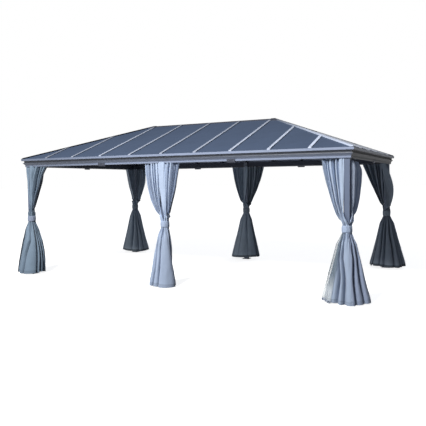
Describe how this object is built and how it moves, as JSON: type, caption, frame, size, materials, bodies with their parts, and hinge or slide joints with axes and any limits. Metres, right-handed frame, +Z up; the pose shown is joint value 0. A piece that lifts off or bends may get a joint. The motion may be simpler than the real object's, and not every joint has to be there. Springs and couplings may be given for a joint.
{
  "type": "hip-roofed garden pergola",
  "caption": "Long open-sided garden pergola with a low hip roof of flat metal panels, an eave gutter, square posts and tied-back curtains at the posts.",
  "frame": {"origin": "on the ground under the middle of the roof", "axes": "+X along the long side, +Y towards the back long side, +Z up"},
  "size_m": [6.44, 3.78, 2.756],
  "materials": {
    "posts": "satin powder coat",
    "frame": "satin powder coat",
    "rails": "satin",
    "gutter": "satin powder coat",
    "dark_trim": "satin powder coat",
    "roof_sheet": "satin coated sheet",
    "silver_trim": "satin powder coat",
    "curtain_cloth": "woven polyester"
  },
  "bodies": {
    "root": {"post_front_left": "posts", "post_front_middle": "posts", "post_front_right": "posts", "post_back_left": "posts", "post_back_middle": "posts", "post_back_right": "posts", "foot_plates": "posts", "beam_front_left": "frame", "beam_front_right": "frame", "beam_back_left": "frame", "beam_back_right": "frame", "beam_left": "frame", "beam_right": "frame", "curtain_rails": "rails", "gutter_front": "gutter", "gutter_back": "gutter", "gutter_left": "gutter", "gutter_right": "gutter", "gutter_joint_sleeves": "dark_trim", "gutter_corner_covers": "dark_trim", "ridge_beam": "frame", "hip_rafters": "frame", "rafters_front": "frame", "rafters_back": "frame", "rafters_left": "frame", "rafters_right": "frame", "roof_panels_front": "roof_sheet", "roof_panels_back": "roof_sheet", "roof_panels_left": "roof_sheet", "roof_panels_right": "roof_sheet", "seam_strips_front": "silver_trim", "seam_strips_back": "silver_trim", "seam_strips_left": "silver_trim", "seam_strips_right": "silver_trim", "hip_caps": "dark_trim", "ridge_cap": "dark_trim", "ridge_end_caps": "dark_trim", "curtain_front_left": "curtain_cloth", "curtain_front_middle": "curtain_cloth", "curtain_front_right": "curtain_cloth", "curtain_back_left": "curtain_cloth", "curtain_back_middle": "curtain_cloth", "curtain_back_right": "curtain_cloth", "tie_bands": "curtain_cloth"}
  },
  "joints": []
}
